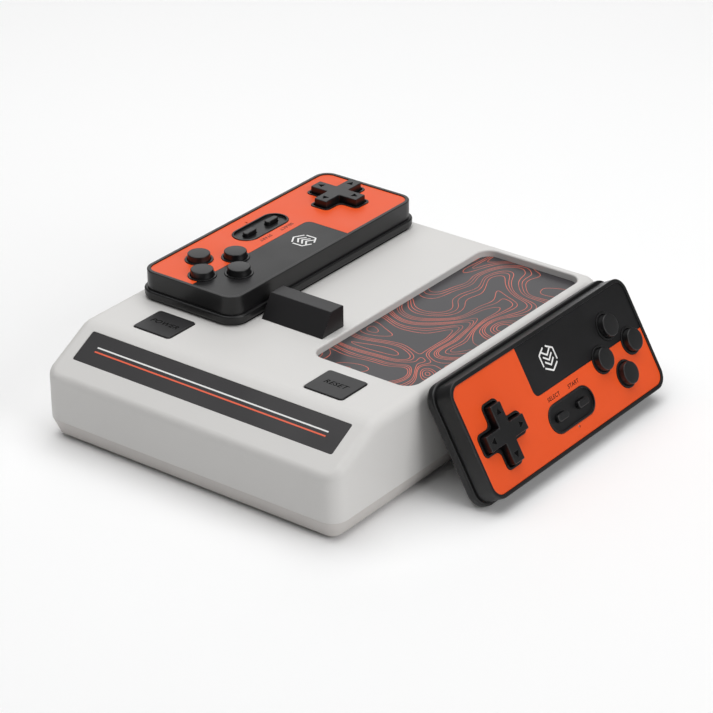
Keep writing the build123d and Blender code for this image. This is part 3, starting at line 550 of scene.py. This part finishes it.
def joinSurfaces(parts):
    vertices, faces, count = [], [], 0
    for points, polygons in parts:
        vertices.append(points)
        faces += [[corner + count for corner in polygon] for polygon in polygons]
        count += len(points)
    return np.vstack(vertices), faces


stripLines = {
    "length": 122.0 * mm,              # both lines are level and centred on the strip
    "rise": 1.1 * mm,                  # from the strip's middle line up to the white one, down to the orange
    "stroke": 0.7 * mm,
    "thick": 0.03 * mm,
    "lift": 0.01 * mm,
}

stripTop = topFace("front_strip") @ Matrix.Translation((0, 0, stripLines["lift"]))
for name, sign, ink in (("strip_line_white", 1, "white_ink"), ("strip_line_orange", -1, "orange_ink")):
    half, height = stripLines["length"] / 2, sign * stripLines["rise"]
    path = np.array([(-half, height), (half, height)])
    line = ribbonSurface(path, stripLines["stroke"], stripLines["thick"])
    addPiece(name, *line, stripTop, materials[ink], "console", smooth=False)
print("strip lines laid")

padMark = {
    "centre": (0.0 * mm, 12.6 * mm),   # from the middle of the face
    "radius": 5.6 * mm,
    "stroke": 0.75 * mm,
    "arcs": ((100, 205), (215, 325), (335, 440)),  # degrees where the ring's stretches start and end
    "arcStep": 3.0,
    "chevrons": (3.6 * mm, 1.4 * mm, -0.8 * mm),   # heights of the nested chevrons' ends
    "chevronHalf": 3.0 * mm,
    "chevronFall": 2.25 * mm,
    "thick": 0.03 * mm,
    "lift": 0.01 * mm,
}


def padMarkSurface(look):
    # a ring of six straight sides with gaps, and nested chevrons inside it; at each angle the ring lies at
    # the sides' distance from the middle, divided by the cosine of the angle from the nearest side's normal
    parts = []
    side = math.radians(60)
    for start, end in look["arcs"]:
        angle = np.radians(np.arange(start, end + 1, look["arcStep"]))
        reach = look["radius"] * math.cos(side / 2) / np.cos((angle + side / 2) % side - side / 2)
        ring = np.stack([reach * np.cos(angle), reach * np.sin(angle)], -1)
        parts.append(ribbonSurface(ring, look["stroke"], look["thick"]))
    half, fall = look["chevronHalf"], look["chevronFall"]
    for top in look["chevrons"]:
        path = np.array([(-half, top), (0.0, top - fall), (half, top)])
        parts.append(ribbonSurface(path, look["stroke"], look["thick"]))
    return joinSurfaces(parts)


for side in ("left_pad", "right_pad"):
    low, high = padBox(side, "front_shell")
    faceMiddle = (low + high) / 2
    faceTop = padBox(side, "black_plate")[1][2]
    x, y = faceMiddle[:2] + padMark["centre"]
    place = padPlace(side, x, y, faceTop + padMark["lift"])
    addPiece(side + "_mark", *padMarkSurface(padMark), place, materials["white_ink"], side, smooth=False)
print("controller marks laid")

# painted shade: near-black matte triangles laid in the cross button's arrow recesses, where shade falls
arrowShade = {
    "radius": 1.84 * mm,               # from an arrow's middle to its corners
    "inset": 3.6 * mm,                 # from the end of an arm to the arrow's middle
    "depth": 0.43 * mm,                # from the cross button's top down to the painted shade in its recesses
    "top": 1.0 * mm,                   # how much of the cross button counts as its top
    "thick": 0.02 * mm,
}


def arrowSurface(look, halfSpan):
    # four triangles that point outwards, a quarter turn apart: a corner lies at the arrow's middle plus the
    # radius in the directions 0, 120 and 240 degrees from the arm's, on two levels a thickness apart
    arm = np.arange(4)[:, None] * math.pi / 2
    corner = arm + np.radians([0.0, 120.0, 240.0])
    reach = halfSpan - look["inset"]
    x = reach * np.cos(arm) + look["radius"] * np.cos(corner)
    y = reach * np.sin(arm) + look["radius"] * np.sin(corner)
    flat = np.stack([x, y, np.zeros_like(x)], -1)
    vertices = np.concatenate([flat, flat + (0, 0, look["thick"])], 1).reshape(-1, 3)
    prism = [(2, 1, 0), (3, 4, 5), (0, 1, 4, 3), (1, 2, 5, 4), (2, 0, 3, 5)]
    return vertices, [[corner + 6 * index for corner in face] for index in range(4) for face in prism]


for side in ("left_pad", "right_pad"):
    low, high = padBox(side, "dpad", arrowShade["top"])
    x, y = (low[:2] + high[:2]) / 2
    place = padPlace(side, x, y, high[2] - arrowShade["depth"])
    vertices, faces = arrowSurface(arrowShade, (high[0] - low[0]) / 2)
    addPiece(side + "_arrows", vertices, faces, place, materials["key_ink_and_arrow_shade"], side + "_dpad", smooth=False)
print("arrows laid")


labels = {
    "padLetterHeight": 1.75 * mm,
    "padLabelDrop": 2.4 * mm,          # from the face's middle line down to the words' middle
    "padLabelSpread": 7.2 * mm,        # from the menu buttons' middle to each word's middle
    "keyLetterHeight": 2.8 * mm,
    "padLean": 0.06,
    "keyLean": 0.22,
    "bolder": 0.045 * mm,              # how far every outline is pushed out
    "sizeForHeight": 1.4,              # the lettering's size for each unit of a capital's height
    "spacing": 1.12,
    "curveSteps": 4,
    "weld": 0.0005 * mm,
    "thick": 0.02 * mm,
    "lift": 0.01 * mm,
}


def addLabel(name, words, height, lean, place, material, body):
    # plain outline lettering, centred on its place and turned into a thin mesh
    text = bpy.data.curves.new(name, "FONT")
    text.body = words
    text.size = height * labels["sizeForHeight"]
    text.shear = lean
    text.align_x = "CENTER"
    text.align_y = "CENTER"
    text.extrude = labels["thick"] / 2
    text.offset = labels["bolder"]
    text.space_character = labels["spacing"]
    text.resolution_u = labels["curveSteps"]
    holder = bpy.data.objects.new(name + "_text", text)
    bpy.context.scene.collection.objects.link(holder)
    bpy.context.view_layer.update()
    mesh = bpy.data.meshes.new_from_object(holder.evaluated_get(bpy.context.evaluated_depsgraph_get()))
    bpy.data.objects.remove(holder)
    mesh.transform(place @ Matrix.Translation((0, 0, labels["lift"] + labels["thick"] / 2)))
    mesh.materials.clear()
    mesh.materials.append(material)
    mesh.name = name
    welded = bmesh.new()
    welded.from_mesh(mesh)
    bmesh.ops.remove_doubles(welded, verts=welded.verts, dist=labels["weld"])
    welded.to_mesh(mesh)
    welded.free()
    piece = bpy.data.objects.new(name, mesh)
    bpy.context.scene.collection.objects.link(piece)
    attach(piece, body)


for side in ("left_pad", "right_pad"):
    low, high = padBox(side, "front_shell")
    faceMiddle = (low + high) / 2
    low, high = padBox(side, "menu_bezel")
    menuMiddle = (low[0] + high[0]) / 2
    faceTop = padBox(side, "orange_plate")[1][2]
    for word, sign in (("SELECT", -1), ("START", 1)):
        x, y = menuMiddle + sign * labels["padLabelSpread"], faceMiddle[1] - labels["padLabelDrop"]
        name = side + "_" + word.lower() + "_label"
        height, lean = labels["padLetterHeight"], labels["padLean"]
        addLabel(name, word, height, lean, padPlace(side, x, y, faceTop), materials["dark_ink"], side)
for key, word in (("power_button", "POWER"), ("reset_button", "RESET")):
    height, lean = labels["keyLetterHeight"], labels["keyLean"]
    addLabel(key + "_label", word, height, lean, topFace(key), materials["key_ink_and_arrow_shade"], key)
print("labels set")


# ---- contacts in the sockets at the back ----

# rows of contacts: on which sides of the tongue they lie, and how far from its middle
contacts = {
    "video_port": {"count": 10, "pitch": 1.0 * mm, "width": 0.45 * mm, "sides": (-1, 1), "half": 0.6 * mm},
    "card_socket": {"count": 8, "pitch": 1.1 * mm, "width": 0.6 * mm, "sides": (-1,), "half": 0.15 * mm},
    "power_port": {"count": 6, "pitch": 0.9 * mm, "width": 0.4 * mm, "sides": (-1, 1), "half": 0.35 * mm},
}
contactLength = 3.5 * mm
contactSetback = 1.4 * mm
contactThick = 0.03 * mm
for node, look in contacts.items():
    low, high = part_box(node)
    middle = (low + high) / 2
    rowStart = -(look["count"] - 1) / 2 * look["pitch"]
    pins = []
    for index in range(look["count"]):
        x = middle.x + rowStart + index * look["pitch"]
        path = np.array([(x, high.y - contactSetback - contactLength), (x, high.y - contactSetback)])
        for sign in look["sides"]:
            vertices, faces = ribbonSurface(path, look["width"], contactThick)
            vertices[:, 2] += middle.z + sign * look["half"] + (0.0 if sign > 0 else -contactThick)
            pins.append((vertices, faces))
    vertices, faces = joinSurfaces(pins)
    gold = materials["contact_gold"]
    addPiece(node + "_contacts", vertices, faces, Matrix.Identity(4), gold, "console", smooth=False)
print("socket contacts laid")


# ---- studio: floor, lights and camera ----

studio = {
    "floorSize": 12.0,
    "floorColour": (0.95, 0.95, 0.95),
    "floorSwing": 0.01,
    "floorBlotch": 0.4,
    "floorRoughness": 0.9,
    "floorSpecular": 0.1,
    "skyColour": (1.0, 1.0, 1.0),
    "skyStrength": 0.16,
    # name: (place, size, radiance)
    "lights": {
        "overhead": ((-0.15, 0.08, 1.25), (1.6, 1.4), 2.3),
        "backLeft": ((-1.35, 1.55, 0.95), (1.5, 1.0), 1.1),
        "rightSide": ((1.7, 0.05, 0.85), (1.2, 1.1), 3.3),
    },
    "aim": (0.02, 0.0, 0.03),
}


def floorMaterial():
    material, tree, shader = startMaterial("studio_floor")
    place = addNode(tree, "ShaderNodeTexCoord").outputs["Object"]
    tone, swing = noiseNode(tree, place, studio["floorBlotch"]), studio["floorSwing"]
    pale = studio["floorColour"]
    colour = mixNode(tree, tone, shade(pale, 1 - swing), shade(pale, 1 + swing))
    tree.links.new(colour, shader.inputs["Base Color"])
    shader.inputs["Roughness"].default_value = studio["floorRoughness"]
    shader.inputs["Specular IOR Level"].default_value = studio["floorSpecular"]
    return material


half = studio["floorSize"] / 2
floorMesh = bpy.data.meshes.new("studio_floor")
floorCorners = [(-half, -half, 0), (half, -half, 0), (half, half, 0), (-half, half, 0)]
floorMesh.from_pydata(floorCorners, [], [(0, 1, 2, 3)])
floorMesh.materials.append(floorMaterial())
floor = bpy.data.objects.new("studio_floor", floorMesh)
bpy.context.scene.collection.objects.link(floor)

world = bpy.data.worlds.new("studio_sky")
world.use_nodes = True
sky = world.node_tree.nodes["Background"]
sky.inputs["Color"].default_value = (*studio["skyColour"], 1.0)
sky.inputs["Strength"].default_value = studio["skyStrength"]
bpy.context.scene.world = world

for name, (place, size, radiance) in studio["lights"].items():
    data = bpy.data.lights.new(name, "AREA")
    data.shape = "RECTANGLE"
    data.size, data.size_y = size
    data.energy = radiance * math.pi * size[0] * size[1]  # watts of an evenly radiating rectangle
    light = bpy.data.objects.new(name, data)
    light.location = place
    light.rotation_euler = (Vector(studio["aim"]) - Vector(place)).to_track_quat("-Z", "Y").to_euler()
    bpy.context.scene.collection.objects.link(light)

viewPoint = {
    "target": (4.529 * mm, 14.431 * mm, 16.573 * mm),
    "distance": 1259.7 * mm,
    "bearing": -37.659,         # degrees: the way it looks, from +Y towards +X
    "fall": 27.581,             # degrees below the horizon
    "roll": -0.626,
    "lens": 147.63,             # millimetres, as is the sensor's width
    "sensor": 36.0,
    "clip": (0.05, 20.0),       # nearest and farthest distance that is drawn
}
bearing, fall, roll = (math.radians(viewPoint[key]) for key in ("bearing", "fall", "roll"))
ahead = Vector((math.sin(bearing) * math.cos(fall), math.cos(bearing) * math.cos(fall), -math.sin(fall)))
level = ahead.cross(Vector((0, 0, 1))).normalized()
upright = level.cross(ahead)
across = math.cos(roll) * level + math.sin(roll) * upright
above = math.cos(roll) * upright - math.sin(roll) * level
eye = Vector(viewPoint["target"]) - ahead * viewPoint["distance"]
cameraData = bpy.data.cameras.new("camera")
cameraData.lens = viewPoint["lens"]
cameraData.sensor_width = viewPoint["sensor"]
cameraData.clip_start, cameraData.clip_end = viewPoint["clip"]
camera = bpy.data.objects.new("camera", cameraData)
camera.matrix_world = Matrix((
    (across.x, above.x, -ahead.x, eye.x),
    (across.y, above.y, -ahead.y, eye.y),
    (across.z, above.z, -ahead.z, eye.z),
    (0, 0, 0, 1),
))
bpy.context.scene.collection.objects.link(camera)
bpy.context.scene.camera = camera
bpy.context.scene.view_settings.view_transform = "Standard"
print("studio set")
